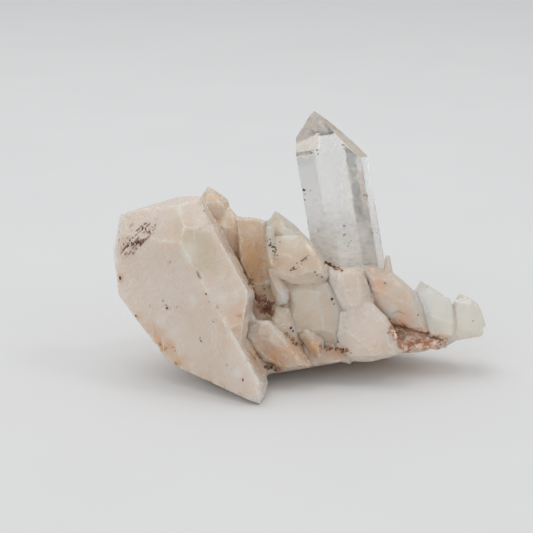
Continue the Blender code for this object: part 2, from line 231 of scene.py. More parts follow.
def edge_list(faces):
    """Every edge once, as a sorted pair, and for each face the numbers of its three edges."""
    pairs = np.sort(faces[:, [[0, 1], [1, 2], [2, 0]]], axis=2).reshape(-1, 2)
    edges, index = np.unique(pairs, axis=0, return_inverse=True)
    return edges, index.reshape(-1, 3)


def face_normals(points, faces):
    a, b, c = points[faces].transpose(1, 0, 2)
    return np.cross(b - a, c - a)


def vertex_normals(points, faces):
    """The area-weighted mean of the normals of the faces at each vertex."""
    flat = np.repeat(face_normals(points, faces), 3, axis=0)
    total = np.stack([np.bincount(faces.ravel(), flat[:, i], len(points)) for i in range(3)], axis=1)
    return total / np.maximum(np.linalg.norm(total, axis=1, keepdims=True), 1e-20)


def creases(points, faces, least=12):
    """Start and end points of the edges that bend by more than least degrees."""
    edges, index = edge_list(faces)
    normals = face_normals(points, faces)
    normals /= np.maximum(np.linalg.norm(normals, axis=1, keepdims=True), 1e-20)
    order = np.argsort(index.ravel(), kind="stable")
    pair = normals[order // 3].reshape(-1, 2, 3)
    bend = np.einsum("ij,ij->i", pair[:, 0], pair[:, 1]) < cos(radians(least))
    return points[edges[bend]]


def distance_to(points, lines):
    """Distance from each point to the nearest of the line pieces."""
    best = np.full(len(points), 1.0)
    for start, end in lines:
        along = end - start
        t = np.clip((points - start) @ along / max(along @ along, 1e-20), 0, 1)
        best = np.minimum(best, np.linalg.norm(points - start - t[:, None] * along, axis=1))
    return best


def divided(points, faces, lines, fine, coarse):
    """Splits each edge longer than its limit in two, until none is left.

    The limit is fine mm at a crease and grows by 0.4 for each mm away from it, up to coarse mm.
    """
    for _ in range(12):
        edges, index = edge_list(faces)
        ends = points[edges]
        length = np.linalg.norm(ends[:, 0] - ends[:, 1], axis=1)
        middle = ends.mean(axis=1)
        long = length > fine * MM
        away = np.zeros(len(edges))
        if len(lines):
            away[long] = distance_to(middle[long], lines)
        else:
            away[:] = 1
        long &= length > np.clip(fine * MM + 0.4 * away, 0, coarse * MM)
        if not long.any():
            break
        number = np.full(len(edges), -1)
        number[long] = len(points) + np.arange(long.sum())
        points = np.concatenate([points, middle[long]])
        cut = number[index]
        count = (cut >= 0).sum(axis=1)
        turn = np.where(count == 1, np.argmax(cut >= 0, axis=1), np.argmax(cut < 0, axis=1) + 1)
        turn[(count == 0) | (count == 3)] = 0
        columns = (np.arange(3) + turn[:, None]) % 3
        a, b, c = np.take_along_axis(faces, columns, 1).T
        ab, bc, ca = np.take_along_axis(cut, columns, 1).T
        one, two, three = count == 1, count == 2, count == 3
        parts = [faces[count == 0]]
        parts += [np.stack(t, 1)[one] for t in ((a, ab, c), (ab, b, c))]
        parts += [np.stack(t, 1)[two] for t in ((ab, b, bc), (a, ab, c), (ab, bc, c))]
        parts += [np.stack(t, 1)[three] for t in ((a, ab, ca), (ab, b, bc), (ca, bc, c), (ab, bc, ca))]
        faces = np.concatenate(parts)
    return points, faces


def neighbour_mean(points, edges):
    """The mean place of the neighbours of each vertex."""
    a, b = edges.T
    count = np.bincount(edges.ravel(), minlength=len(points))
    size = len(points)
    total = [np.bincount(a, points[b, i], size) + np.bincount(b, points[a, i], size) for i in range(3)]
    return np.stack(total, axis=1) / np.maximum(count, 1)[:, None]


# Crevices, found once from the surfaces of all nodes together

def surface_samples(mesh, maker):
    """Random places spread evenly over a mesh."""
    points = np.empty(len(mesh.vertices) * 3)
    mesh.vertices.foreach_get("co", points)
    mesh.calc_loop_triangles()
    faces = np.empty(len(mesh.loop_triangles) * 3, np.int32)
    mesh.loop_triangles.foreach_get("vertices", faces)
    points, faces = points.reshape(-1, 3), faces.reshape(-1, 3)
    area = np.linalg.norm(face_normals(points, faces), axis=1) / 2
    count = int(area.sum() / MM**2 * SAMPLES_PER_MM2)
    share = maker.dirichlet((1, 1, 1), count)
    return np.einsum("ij,ijk->ik", share, points[faces[maker.choice(len(area), count, p=area / area.sum())]])


def sampled_nodes():
    """For each node, random places on its surface."""
    maker = np.random.default_rng(7)
    return {name: surface_samples(node.data, maker) for name, node in frame["nodes"].items()}


SAMPLES = sampled_nodes()


class Crowding:
    """How much surface lies around a place: a grid of surface samples blurred with a bell curve."""

    def __init__(self, samples, low, high, cell, reach, most=1e9):
        self.cell = cell * MM
        self.low = np.array(low) - 2 * MM
        shape = np.ceil((np.array(high) + 2 * MM - self.low) / self.cell).astype(int)
        spots = ((samples - self.low) / self.cell).astype(int)
        spots = spots[((spots >= 0) & (spots < shape)).all(axis=1)]
        grid = np.bincount(np.ravel_multi_index(spots.T, shape), minlength=int(np.prod(shape)))
        grid = np.minimum(grid.reshape(shape), most).astype(np.float32)
        steps = np.arange(-int(2 * reach), int(2 * reach) + 1)
        bell = np.exp(-(steps / reach) ** 2)
        for axis in range(3):
            grid = sum(np.float32(w) * np.roll(grid, s, axis) for s, w in zip(steps, bell / bell.sum()))
        self.grid = grid

    def at(self, points):
        place = (points - self.low) / self.cell - 0.5
        low = np.clip(np.floor(place).astype(int), 0, np.array(self.grid.shape) - 2)
        part = np.clip(place - low, 0, 1)
        total = np.zeros(len(points))
        for step in CUBE:
            total += np.prod(np.where(step, part, 1 - part), axis=1) * self.grid[tuple((low + step).T)]
        return total


everywhere = Crowding(np.concatenate(list(SAMPLES.values())), *CAD_BOX, *CREVICE_GRID)


def crevice(points, normals):
    """From 0 on an open face to 1 deep between two surfaces."""
    value = everywhere.at(points + normals * CREVICE_PROBE)
    return np.clip((value / np.median(value) - CREVICE_START) / CREVICE_RANGE, 0, 1)


def neighbour_walls(node, points, cell, reach):
    """A grid of what the other nodes' surfaces fill around this one."""
    others = np.concatenate([spots for name, spots in SAMPLES.items() if name != node])
    return Crowding(others, points.min(axis=0), points.max(axis=0), cell, reach, 1)


# Places in the camera's view

def view_axes():
    """The camera's directions to the right, up and forward."""
    rise = radians(bpy.context.scene.quartz_stage.rise)
    return Vector((1, 0, 0)), Vector((0, sin(rise), cos(rise))), Vector((0, cos(rise), -sin(rise)))


def camera_place():
    """Where the camera stands: VIEW_DISTANCE back from VIEW_TARGET."""
    _, _, forward = view_axes()
    return Vector(VIEW_TARGET) * MM - forward * VIEW_DISTANCE * MM


def view_ray(across, down):
    """Start and direction of the line of sight through a pixel of the view."""
    right, up, forward = view_axes()
    reach = bpy.context.scene.quartz_stage.lens / SENSOR_WIDTH * VIEW_PIXELS
    half = VIEW_PIXELS / 2
    way = forward + right * (across - half) / reach + up * (half - down) / reach
    return camera_place(), way.normalized()


def search_tree(nodes):
    """One search tree over some nodes of the frame."""
    points, faces = [], []
    for node in nodes:
        offset = len(points)
        points += [v.co.copy() for v in node.data.vertices]
        faces += [[offset + i for i in f.vertices] for f in node.data.polygons]
    return BVHTree.FromPolygons(points, faces)


tree = search_tree(frame["nodes"].values())
surfaces = [tree]


def first_hit(start, way):
    """Where a line first meets one of the surfaces, point and outward normal, or None."""
    hits = [hit for hit in (surface.ray_cast(start, way) for surface in surfaces) if hit[0] is not None]
    if not hits:
        return None
    point, normal, _, _ = min(hits, key=lambda hit: hit[3])
    return np.array(point), np.array(normal if normal.dot(way) < 0 else -normal)


def seen_at(across, down):
    """Where the line of sight through a pixel first meets the cluster: point and outward normal."""
    return first_hit(*view_ray(across, down))


def ragged(points):
    """Factors around 1 that fray the edges of painted spots."""
    return 1 + 0.35 * cloud(points, 3.0, 40)


def painted(points, spots, fray):
    """Sum over the spots of amount * exp(-(fray * distance / radius)^2)."""
    total = np.zeros(len(points))
    for across, down, radius, amount in spots:
        found = seen_at(across, down)
        if found is None:
            raise RuntimeError(f"nothing is seen at pixel {across}, {down}")
        away = np.linalg.norm(points - found[0], axis=1) * fray / (radius * MM)
        total += amount * np.exp(-away * away)
    return total


# Writing meshes

def placed(name, data):
    """A new object in the scene."""
    obj = bpy.data.objects.new(name, data)
    bpy.context.scene.collection.objects.link(obj)
    return obj


def mesh_piece(name, points, faces, material, values, sharp, replaced=()):
    """Puts arrays into a mesh object that rides on the cluster, its shading split at sharp bends."""
    points = np.clip(points, *CAD_BOX)
    mesh = bpy.data.meshes.new(name)
    mesh.from_pydata(points, [], faces)
    mesh.update()
    mesh.shade_smooth()
    mesh.set_sharp_from_angle(angle=radians(sharp))
    for key, value in values.items():
        mesh.attributes.new(key, "FLOAT", "POINT").data.foreach_set("value", value.astype(np.float32))
    mesh.materials.append(material)
    obj = placed(name, mesh)
    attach(obj, "root")
    if replaced:
        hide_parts(*replaced)


def long_axis(points):
    """The direction in which the points spread most."""
    few = points[:: max(1, len(points) // 3000)]
    _, _, axes = np.linalg.svd(few - points.mean(axis=0), full_matrices=False)
    return axes[0]


def worn_crystal(node, finish, slot, wavy, fine, scoops, rounding, chips):
    """A node's crystal with rounded edges, chips, growth lines across it, scoops and pits.

    Each vertex moves along its normal by wavy * broad noise + fine * (steps of its height on the long
    axis) - chips * (noise over a limit, near an edge) + scoops * (bowls) - pits, all in millimetres. Hollow
    creases are filled. Toward a neighbour it grows, a clear crystal by up to GAP_GROWTH and any other by up
    to JOIN_GROWTH, so that the two meet.
    """
    look = bpy.context.scene.quartz_crystals
    clear = finish == "clear_quartz"
    points, faces = merged_faces(node)
    lines = creases(points, faces)
    points, faces = divided(points, faces, lines, look.fineness / MM, 2.0 * look.fineness / MM)
    edges, _ = edge_list(faces)
    away = distance_to(points, lines)
    fray = ragged(points)
    fresh = np.clip(painted(points, FRESH, fray), 0, 1) * (rounding > 0.3)
    walls = neighbour_walls(node, points, *NEAR_GRID)
    wide = neighbour_walls(node, points, *WIDE_GRID)
    open_rim = 1 - np.clip(walls.at(points) / SHARED_RIM, 0, 1)
    soft = np.exp(-(away / (max(rounding, 0.2) * 1.5 * MM)) ** 2) * open_rim * (1 - 0.8 * fresh)
    for _ in range(int(2 + 24 * rounding * rounding)):
        points = points + 0.55 * soft[:, None] * (neighbour_mean(points, edges) - points)
    normals = vertex_normals(points, faces)
    for _ in range(HOLLOW_PASSES if scoops else 0):
        hollow = np.einsum("ij,ij->i", neighbour_mean(points, edges) - points, normals)
        points = points + normals * (0.8 * np.maximum(hollow, 0) * open_rim)[:, None]
    near = np.exp(-(away / (0.45 * MM)) ** 2) * open_rim
    normals = vertex_normals(points, faces)
    seed = sum(map(ord, node))
    axis = long_axis(points)
    height = points @ axis / MM
    ridges = height + 0.4 * cloud(points, 9, seed)
    steps = np.abs((ridges * 0.9 + noise(points, 6, seed + 3)) % 1 - 0.5) + np.abs((ridges * 1.7) % 1 - 0.5)
    broad = cloud(points, 5.0, seed + 5, 3)
    nick = np.clip(cloud(points, 1.6, seed + 9, 3) - 0.25, 0, 1) * near
    pit = np.clip(noise(points, 0.9, seed + 12) - 0.62, 0, 1)
    open_face = 1 - near
    move = wavy * broad * open_face + fine * (steps - 0.5) * open_face
    move -= chips * look.chipping / MM * nick + 2 * fine * pit * open_face
    if scoops:
        worn = np.clip(0.5 + cloud(points, 6.0, seed + 21, 2), 0, 1) * (1 - fresh)
        move += scoops * worn * (bowls(points + 0.8 * MM * normals, 4.2, seed + 23) - 0.35)
    touching = np.clip(walls.at(points + normals * PROBE) / TOUCHING, 0, 1)
    deep = crevice(points, normals)
    grown = GAP_GROWTH * touching
    if not clear:
        joined = np.clip(wide.at(points) / JOINED, 0, 1)
        grown = grown * (1 - joined) + CREVICE_GROWTH * deep * (1 - touching) + JOIN_GROWTH * joined
    points = points + normals * ((move * (1 - touching) + grown) * MM)[:, None]
    values = {"edge": near, "crevice": np.maximum(deep, 0.7 * touching)}
    for key, spots in (("stain", STAINS), ("veil", VEILS_AND_HIGHLIGHT), ("dash", DASHES), ("olive", OLIVE)):
        values[key] = painted(points, spots, fray)
    values["height"] = height
    if clear:
        under = ROOT_TOP * MM - points[:, 2] + 1.5 * MM * cloud(points, 4.0, 3)
        values["root"] = np.clip(under / (ROOT_FADE * MM), 0, 1)
        values["dust"] = np.zeros(len(points))
        for across, down, amount in DUSTY_FACES:
            _, flat = seen_at(across, down)
            facing = np.clip((normals @ flat - 0.97) / 0.02, 0, 1)
            values["dust"] = np.maximum(values["dust"], amount * facing)
        values["dust"] = np.maximum(values["dust"], np.clip(painted(points, HAZE, fray), 0, 0.8))
    sharp = CLEAR_SHARP if clear else CLOUDY_SHARP
    mesh_piece(f"{node}_worn", points, faces, finishes()[finish], values, sharp, (node,))


def rough_matrix(node):
    """The matrix rock, its surface moved by layers of noise, ledges and pits.

    Each vertex moves along its normal by ROCK_WAVES * cloud + ROCK_LEDGES * (cloud rounded down to fifths)
    - ROCK_PITS * pits - ROCK_SHIFT in mm, by GAP_GROWTH where a crystal touches, and not on the floor.
    """
    points, faces = merged_faces(node)
    points, faces = divided(points, faces, [], 0.5, 0.5)
    edges, _ = edge_list(faces)
    for _ in range(2):
        points = points + 0.5 * (neighbour_mean(points, edges) - points)
    normals = vertex_normals(points, faces)
    broad = cloud(points, 4.0, 21, 4)
    ledge = np.floor(cloud(points, 7.0, 31, 3) * 5) / 5
    pit = np.clip(noise(points, 1.2, 51) - 0.4, 0, 1)
    move = ROCK_WAVES * broad + ROCK_LEDGES * ledge - ROCK_PITS * pit - ROCK_SHIFT
    off_floor = np.clip(points[:, 2] / (1.5 * MM), 0, 1)
    walls = neighbour_walls(node, points, *NEAR_GRID)
    touching = np.clip(walls.at(points + normals * PROBE) / ROCK_TOUCHING, 0, 1)
    move = move * (1 - touching) + GAP_GROWTH * touching
    points = points + normals * (move * off_floor * MM)[:, None]
    points[:, 2] = np.maximum(points[:, 2], 0)
    normals = vertex_normals(points, faces)
    below = np.clip(-normals[:, 2], 0, 1) * np.clip(1 - points[:, 2] / (12 * MM), 0, 1)
    fray = ragged(points)
    values = {
        "crevice": crevice(points, normals),
        "stain": painted(points, STAINS, fray) + 1.2 * below,
        "veil": painted(points, VEILS_AND_HIGHLIGHT, fray),
    }
    material = finishes()["matrix_rock"]
    mesh_piece("rough_matrix", points, faces, material, values, ROCK_SHARP, (node,))


# Finishes

class Wiring:
    """Short calls that add nodes to one material and join them."""

    def __init__(self, name):
        self.material = bpy.data.materials.new(name)
        self.material.use_nodes = True
        self.tree = self.material.node_tree
        self.shader = self.tree.nodes["Principled BSDF"]
        self.output = self.tree.nodes["Material Output"]
        self.place = self.tree.nodes.new("ShaderNodeTexCoord").outputs["Object"]

    def put(self, socket, value):
        """Joins an input to an output or sets it to a value, and leaves it alone where there is none."""
        if isinstance(value, bpy.types.NodeSocket):
            self.tree.links.new(value, socket)
        elif value is not None:
            socket.default_value = value

    def set(self, **values):
        """Puts values into the shader's inputs, whose names have _ here for a space."""
        for key, value in values.items():
            self.put(self.shader.inputs[key.replace("_", " ")], value)

    def add(self, kind, **values):
        """A new node with values put into its inputs."""
        node = self.tree.nodes.new(f"ShaderNode{kind}")
        for key, value in values.items():
            self.put(node.inputs[key], value)
        return node

    def attribute(self, name):
        node = self.add("Attribute")
        node.attribute_name = name
        return node.outputs["Fac"]

    def clouds(self, size, detail, bend=0.0, rough=0.55, seed=0.0, turn=None, stretch=None):
        """Noise from 0 to 1 with patches about size mm wide, turned and stretched if asked."""
        shift = (seed, seed * 1.7, seed * 0.6)
        mapping = self.add("Mapping", Vector=self.place, Location=shift, Rotation=turn, Scale=stretch)
        node = self.add("TexNoise", Vector=mapping.outputs["Vector"], Scale=1 / (size * MM),
                        Detail=detail, Roughness=rough, Distortion=bend)
        return node.outputs["Fac"]

    def lines(self, number, step):
        """Noise from 0 to 1 that changes only with one number, such as the height along a crystal in mm."""
        node = self.add("TexNoise", Scale=1 / step, Detail=3)
        node.noise_dimensions = "1D"
        self.put(node.inputs["W"], number)
        return node.outputs["Fac"]

    def cells(self, size):
        """Distance to the nearest of scattered middles about size mm apart."""
        return self.add("TexVoronoi", Vector=self.place, Scale=1 / (size * MM)).outputs["Distance"]

    def math(self, operation, a, b=None, clamp=False):
        node = self.add("Math")
        node.operation = operation
        node.use_clamp = clamp
        self.put(node.inputs[0], a)
        self.put(node.inputs[1], b)
        return node.outputs[0]

    def times(self, a, b, clamp=False):
        return self.math("MULTIPLY", a, b, clamp)

    def span(self, value, low, high, start=0.0, end=1.0):
        """Maps value from low..high to start..end with a soft ramp, held at both ends."""
        node = self.add("MapRange")
        node.interpolation_type = "SMOOTHSTEP"
        for number, part in enumerate((value, low, high, start, end)):
            self.put(node.inputs[number], part)
        return node.outputs[0]

    def mix(self, factor, a, b, blend="MIX"):
        """A blend of two colours, each an output or three values."""
        node = self.add("Mix")
        node.data_type = "RGBA"
        node.blend_type = blend
        self.put(node.inputs["Factor"], factor)
        for number, colour in ((6, a), (7, b)):
            self.put(node.inputs[number], (*colour, 1) if isinstance(colour, tuple) else colour)
        return node.outputs[2]

    def bump(self, height, depth, strength, before=None):
        """A normal tilted by a height of up to depth mm, on top of the normal before it."""
        node = self.add("Bump", Distance=depth * MM, Strength=strength, Height=height, Normal=before)
        return node.outputs["Normal"]


def shade(red, green, blue):
    """Display values from 0 to 255 as linear light: ((c / 255 + 0.055) / 1.055) ** 2.4."""
    return tuple(((c / 255 + 0.055) / 1.055) ** 2.4 for c in (red, green, blue))


def quartz(name, milk, dirt, pale, warm, stained, see_through, gloss, depth):
    """Cloudy quartz with warm clouds, growth lines, cracks, iron stain, white veils, a painted highlight,
    worn edges and painted shade deep in crevices.
    """
    w = Wiring(name)
    pale, warm, stained = shade(*pale), shade(*warm), shade(*stained)
    broad = w.clouds(11, 2, 0.6)
    wisps = w.clouds(4.0, 4, 1.8, 0.55, 0.3, (0.5, 0.3, 0.2), (1.0, 0.45, 1.3))
    sway = w.times(w.clouds(6, 3, 0.4, 0.5, 1.9), 1.6)
    along = w.math("ADD", w.attribute("height"), sway)
    lines = w.lines(along, 0.42)
    colour = w.mix(w.span(broad, 0.3, 0.7), pale, warm)
    colour = w.mix(w.span(wisps, 0.45, 0.75, 0.0, 0.35), colour, milk)
    colour = w.mix(w.span(lines, 0.42, 0.62, 0.0, 0.16), colour, warm, "MULTIPLY")
    colour = w.mix(w.span(w.attribute("olive"), 0.1, 1.0, 0.0, 0.5), colour, shade(216, 206, 178))
    # Painted shade: deep between surfaces the colour turns darker and warmer, toward the stain colour
    colour = w.mix(w.span(w.attribute("crevice"), 0.1, 0.9, 0.0, 0.3), colour, stained)
    patches = w.clouds(1.9, 5, 0.8, 0.65, 0.7)
    stain = w.times(w.attribute("stain"), w.span(patches, 0.25, 0.62, 0.25, 1.0))
    colour = w.mix(w.span(stain, 0.0, 0.8), colour, stained)
    colour = w.mix(w.span(stain, 0.65, 1.35), colour, dirt)
    # White veils of bubbles, and one painted highlight on the centre crystal's point, mixed toward the milk
    # colour
    colour = w.mix(w.span(w.attribute("veil"), 0.1, 1.2, 0.0, 0.7), colour, milk)
    edge = w.times(w.attribute("edge"), w.span(w.clouds(1.3, 3, 0.4, 0.6, 0.9), 0.4, 0.6))
    colour = w.mix(w.span(edge, 0.2, 1.0, 0.0, 0.4), colour, milk)
    broken = w.span(w.clouds(0.9, 4, 0.6), 0.45, 0.53)
    short = w.times(w.span(w.lines(along, 0.6), 0.46, 0.56), broken)
    short = w.times(short, w.span(w.attribute("dash"), 0.2, 0.7), True)
    colour = w.mix(short, colour, shade(140, 84, 58))
    dirty = w.span(w.math("ADD", w.attribute("crevice"), w.attribute("stain")), 0.15, 0.6)
    for size, seed, tint, most in ((9.0, 4.1, shade(160, 116, 88), 0.5), (10.0, 6.7, milk, 0.7)):
        level = w.math("ABSOLUTE", w.math("SUBTRACT", w.clouds(size, 1.5, 0.4, 0.5, seed), 0.5))
        here = w.span(w.clouds(4.5, 2, 0, 0.5, seed + 2), 0.5, 0.58)
        crack = w.times(w.span(level, 0.001, 0.007, most, 0.0), here)
        if tint != milk:
            crack = w.times(crack, dirty)
        colour = w.mix(crack, colour, tint)
    normal = w.bump(lines, 0.05, 0.35)
    normal = w.bump(w.clouds(1.4, 3, 0.8, 0.5, 2.3), 0.08, 0.2, normal)
    rough = w.span(w.clouds(2.4, 4, 0.5, 0.6, 0.4), 0.35, 0.65, gloss, gloss + 0.16)
    clear = w.span(stain, 0.2, 1.2, see_through, 0.0)
    w.set(Base_Color=colour, Roughness=rough, Normal=normal, IOR=1.54, Transmission_Weight=clear)
    w.set(Subsurface_Weight=1.0, Subsurface_Radius=(1.0, 0.93, 0.86), Subsurface_Scale=depth * MM)
    return w.material


def clear_quartz(name, milk):
    """See-through quartz with faint growth lines, milky at its root and dusty in places."""
    w = Wiring(name)
    wisps = w.clouds(2.4, 5, 1.2, 0.6, 0.6, (0.2, 0.3, 0.0), (0.6, 1.0, 1.5))
    root = w.times(w.attribute("root"), w.span(wisps, 0.25, 0.6, 0.45, 1.0))
    dust = w.times(w.attribute("dust"), w.span(w.clouds(1.6, 5, 0.8), 0.25, 0.6, 0.35, 1.0))
    low = w.times(w.attribute("veil"), w.clouds(2.0, 5, 1.0))
    colour = w.mix(w.span(low, 0.1, 0.5, 0.0, 0.6), (0.99, 0.99, 0.985), (0.95, 0.93, 0.90))
    colour = w.mix(w.span(root, 0.0, 0.8), colour, milk)
    warm = w.times(w.span(root, 0.5, 1.0, 0.0, 0.8), w.span(w.clouds(5, 3), 0.4, 0.6))
    colour = w.mix(warm, colour, shade(238, 218, 200))
    dusty = w.mix(w.span(w.attribute("dust"), 0.6, 1.0), shade(242, 234, 222), shade(192, 168, 128))
    colour = w.mix(dust, colour, dusty)
    see = w.times(w.span(root, 0.0, 0.9, 0.90, 0.42), w.span(dust, 0.0, 1.0, 1.0, 0.35))
    lines = w.lines(w.attribute("height"), 0.5)
    rough = w.math("ADD", w.span(w.clouds(2.5, 3), 0.4, 0.75, 0.0, 0.06), w.span(dust, 0.0, 1.0, 0.0, 0.2))
    normal = w.bump(lines, 0.012, 0.35)
    w.set(Base_Color=colour, Roughness=rough, Normal=normal, IOR=1.54, Transmission_Weight=see)
    w.set(Subsurface_Weight=0.5, Subsurface_Radius=(1.0, 0.93, 0.86), Subsurface_Scale=4 * MM)
    absorb = w.add("VolumeAbsorption", Color=(0.95, 0.92, 0.87, 1), Density=5)
    w.tree.links.new(absorb.outputs[0], w.output.inputs["Volume"])
    return w.material


def matrix_rock(name, dirt):
    """Rough rock: dirty beige quartz between the crystals, rust red-brown where iron has stained it, and
    painted shade in the dirt colour deep in crevices.
    """
    w = Wiring(name)
    broad = w.clouds(5, 5, 0.5, 0.6)
    colour = w.mix(w.span(broad, 0.32, 0.66), shade(226, 206, 184), shade(206, 170, 138))
    patches = w.span(w.clouds(1.6, 5, 0.8, 0.65, 0.5), 0.54, 0.70, 0.0, 0.7)
    colour = w.mix(patches, colour, shade(170, 118, 86))
    grain = w.cells(0.8)
    colour = w.mix(w.span(grain, 0.10, 0.34, 0.5, 0.0), colour, shade(236, 222, 206))
    uneven = w.span(w.clouds(2.0, 5, 0.9, 0.65, 1.3), 0.2, 0.55)
    rust = w.times(w.attribute("stain"), uneven)
    mottle = w.span(w.clouds(0.9, 4, 0.6, 0.6, 2.1), 0.38, 0.6)
    rust_colour = w.mix(mottle, shade(250, 232, 214), shade(216, 172, 144))
    colour = w.mix(w.span(rust, 0.15, 0.9), colour, rust_colour)
    # Painted shade: deep in crevices the colour darkens toward the dirt colour
    colour = w.mix(w.span(w.attribute("crevice"), 0.3, 0.95, 0.0, 0.2), colour, dirt)
    colour = w.mix(w.span(w.attribute("veil"), 0.3, 1.0, 0.0, 0.6), colour, shade(226, 214, 202))
    normal = w.bump(w.clouds(0.5, 4, 0.3, 0.65), 0.16, 0.8)
    normal = w.bump(grain, 0.10, 0.5, normal)
    w.set(Base_Color=colour, Roughness=w.span(broad, 0.3, 0.7, 0.55, 0.85), Normal=normal)
    w.set(Subsurface_Weight=0.25, Subsurface_Radius=(1.0, 0.7, 0.5), Subsurface_Scale=1.5 * MM)
    return w.material


def dirt_finish(name, dark, light):
    """Dull grains in a mix of two colours."""
    w = Wiring(name)
    colour = w.mix(w.span(w.clouds(1.5, 2), 0.4, 0.6), shade(*dark), shade(*light))
    w.set(Base_Color=colour, Roughness=0.8, Normal=w.bump(w.clouds(0.12, 3), 0.03, 0.7))
    return w.material


# Cloudy quartz: pale, warm and stained display colours, see-through, gloss, depth of light in mm
CLOUDY = {
    "milky_quartz": ((243, 231, 221), (239, 223, 208), (228, 196, 166), 0.20, 0.14, 2.5),
    "frosty_quartz": ((255, 246, 236), (252, 238, 224), (240, 214, 192), 0.28, 0.10, 2.5),
    "glassy_quartz": ((248, 235, 219), (243, 223, 202), (230, 198, 164), 0.36, 0.10, 2.5),
    "pink_quartz": ((252, 236, 223), (248, 226, 207), (240, 196, 166), 0.34, 0.10, 2.5),
    "peach_quartz": ((245, 227, 207), (241, 215, 187), (226, 186, 140), 0.26, 0.16, 2.5),
    "stained_quartz": ((244, 229, 214), (238, 217, 196), (222, 184, 150), 0.30, 0.14, 2.5),
    "druse_quartz": ((250, 240, 230), (245, 229, 213), (226, 192, 160), 0.10, 0.10, 0.4),
}
# Dull grains: dark and light display colour
DULL = {
    "dirt": ((58, 38, 30), (112, 70, 50)),
    "rust": ((188, 132, 104), (246, 222, 202)),
    "brown": ((112, 68, 42), (184, 128, 88)),
    "bubbles": ((238, 234, 228), (252, 250, 246)),
}
made_finishes = {}


def finishes():
    """Every finish of the cluster, made once."""
    if not made_finishes:
        look = bpy.context.scene.quartz_crystals
        milk, dirt = tuple(look.milk), tuple(look.dirt)
        made_finishes["clear_quartz"] = clear_quartz("clear_quartz", milk)
        for name, values in CLOUDY.items():
            made_finishes[name] = quartz(name, milk, dirt, *values)
        made_finishes["matrix_rock"] = matrix_rock("matrix_rock", dirt)
        for name, colours in DULL.items():
            made_finishes[name] = dirt_finish(name, *colours)
    return made_finishes


# Dirt

# Dark grains seen on the crystals: pixel across, pixel down, width in mm
GRAINS = [
    (318, 132, 0.5), (319, 135, 0.3), (317, 150, 0.55), (318, 154, 0.3), (343, 145, 0.5), (345, 149, 0.35),
    (304, 190, 0.6), (305, 194, 0.3), (305, 200, 0.4), (367, 196, 0.5), (362, 192, 0.3), (364, 195, 0.3),
    (344, 226, 0.4), (344, 235, 0.35), (355, 231, 0.3), (373, 233, 0.4), (377, 233, 0.35), (349, 243, 0.4),
    (348, 246, 0.35), (351, 241, 0.25), (370, 232, 0.3), (120, 278, 0.7), (119, 232, 0.4), (119, 240, 0.4),
    (136, 316, 0.5), (163, 301, 0.35), (167, 308, 0.6), (166, 305, 0.35), (177, 307, 0.35), (150, 306, 0.3),
    (201, 341, 0.5), (200, 338, 0.3), (175, 351, 0.35), (227, 365, 0.35), (243, 380, 0.6), (206, 294, 0.6),
    (209, 302, 0.3), (170, 262, 0.3), (213, 322, 0.3), (204, 211, 0.4), (219, 219, 0.3), (272, 247, 0.6),
    (271, 243, 0.45), (273, 251, 0.5), (275, 252, 0.4), (274, 255, 0.35), (280, 242, 0.35),
    (293, 268, 0.35), (296, 269, 0.3), (299, 267, 0.3), (315, 272, 0.4), (317, 275, 0.35), (322, 277, 0.4),
    (332, 299, 0.5), (334, 304, 0.35), (418, 315, 0.5), (385, 283, 0.35), (291, 328, 0.6), (293, 331, 0.4),
    (297, 343, 0.45), (264, 289, 0.4), (265, 313, 0.3), (253, 302, 0.3), (473, 321, 0.3), (390, 319, 0.4),
    (338, 342, 0.4),
]
# Rows of grains along a line of pixels: start, end, count, width in mm, spread in pixels
ROWS = [
    ((325, 262), (343, 271), 16, 0.42, 1.2), ((243, 271), (251, 287), 16, 0.45, 1.6),
    ((251, 287), (260, 301), 8, 0.35, 1.0), ((300, 262), (308, 256), 9, 0.32, 0.8),
    ((264, 296), (270, 316), 12, 0.4, 3.0), ((329, 349), (348, 349), 12, 0.32, 0.7),
    ((262, 362), (284, 370), 10, 0.28, 0.8), ((141, 226), (151, 233), 12, 0.42, 1.8),
    ((125, 248), (143, 240), 22, 0.42, 2.6), ((269, 240), (277, 256), 16, 0.36, 4.0),
    ((392, 326), (404, 350), 14, 0.35, 1.6), ((290, 270), (308, 258), 10, 0.28, 1.2),
]
# Share of these widths that a grain gets
GRAIN_SIZE = 0.88
# Headings from which the hidden sides are seen, in degrees
BEHIND = (15, 165)
# Loose grains: how far up they are seen from, in degrees, and their width in mm
LOOSE_RISES, LOOSE_WIDTHS = (5, 65), (0.15, 0.42)
# Rays start this far out, in metres, and aim into these boxes, in mm
RAY_START = 0.2
SCATTER_BOX = ((-25, -5, 2), (28, 15, 32))
ROCK_BOX = ((-22, -2, 3), (22, 16, 16))


def cross_axes(maker, out):
    """For each direction a random one square to it, and one square to both."""
    side = np.cross(out, maker.normal(size=out.shape))
    side /= np.linalg.norm(side, axis=1, keepdims=True)
    return side, np.cross(out, side)


def repeated(faces, count, size):
    """The faces of one shape of so many points, numbered on for each of its copies."""
    return (np.array(faces)[None] + (np.arange(count) * size)[:, None, None]).reshape(-1, 3)


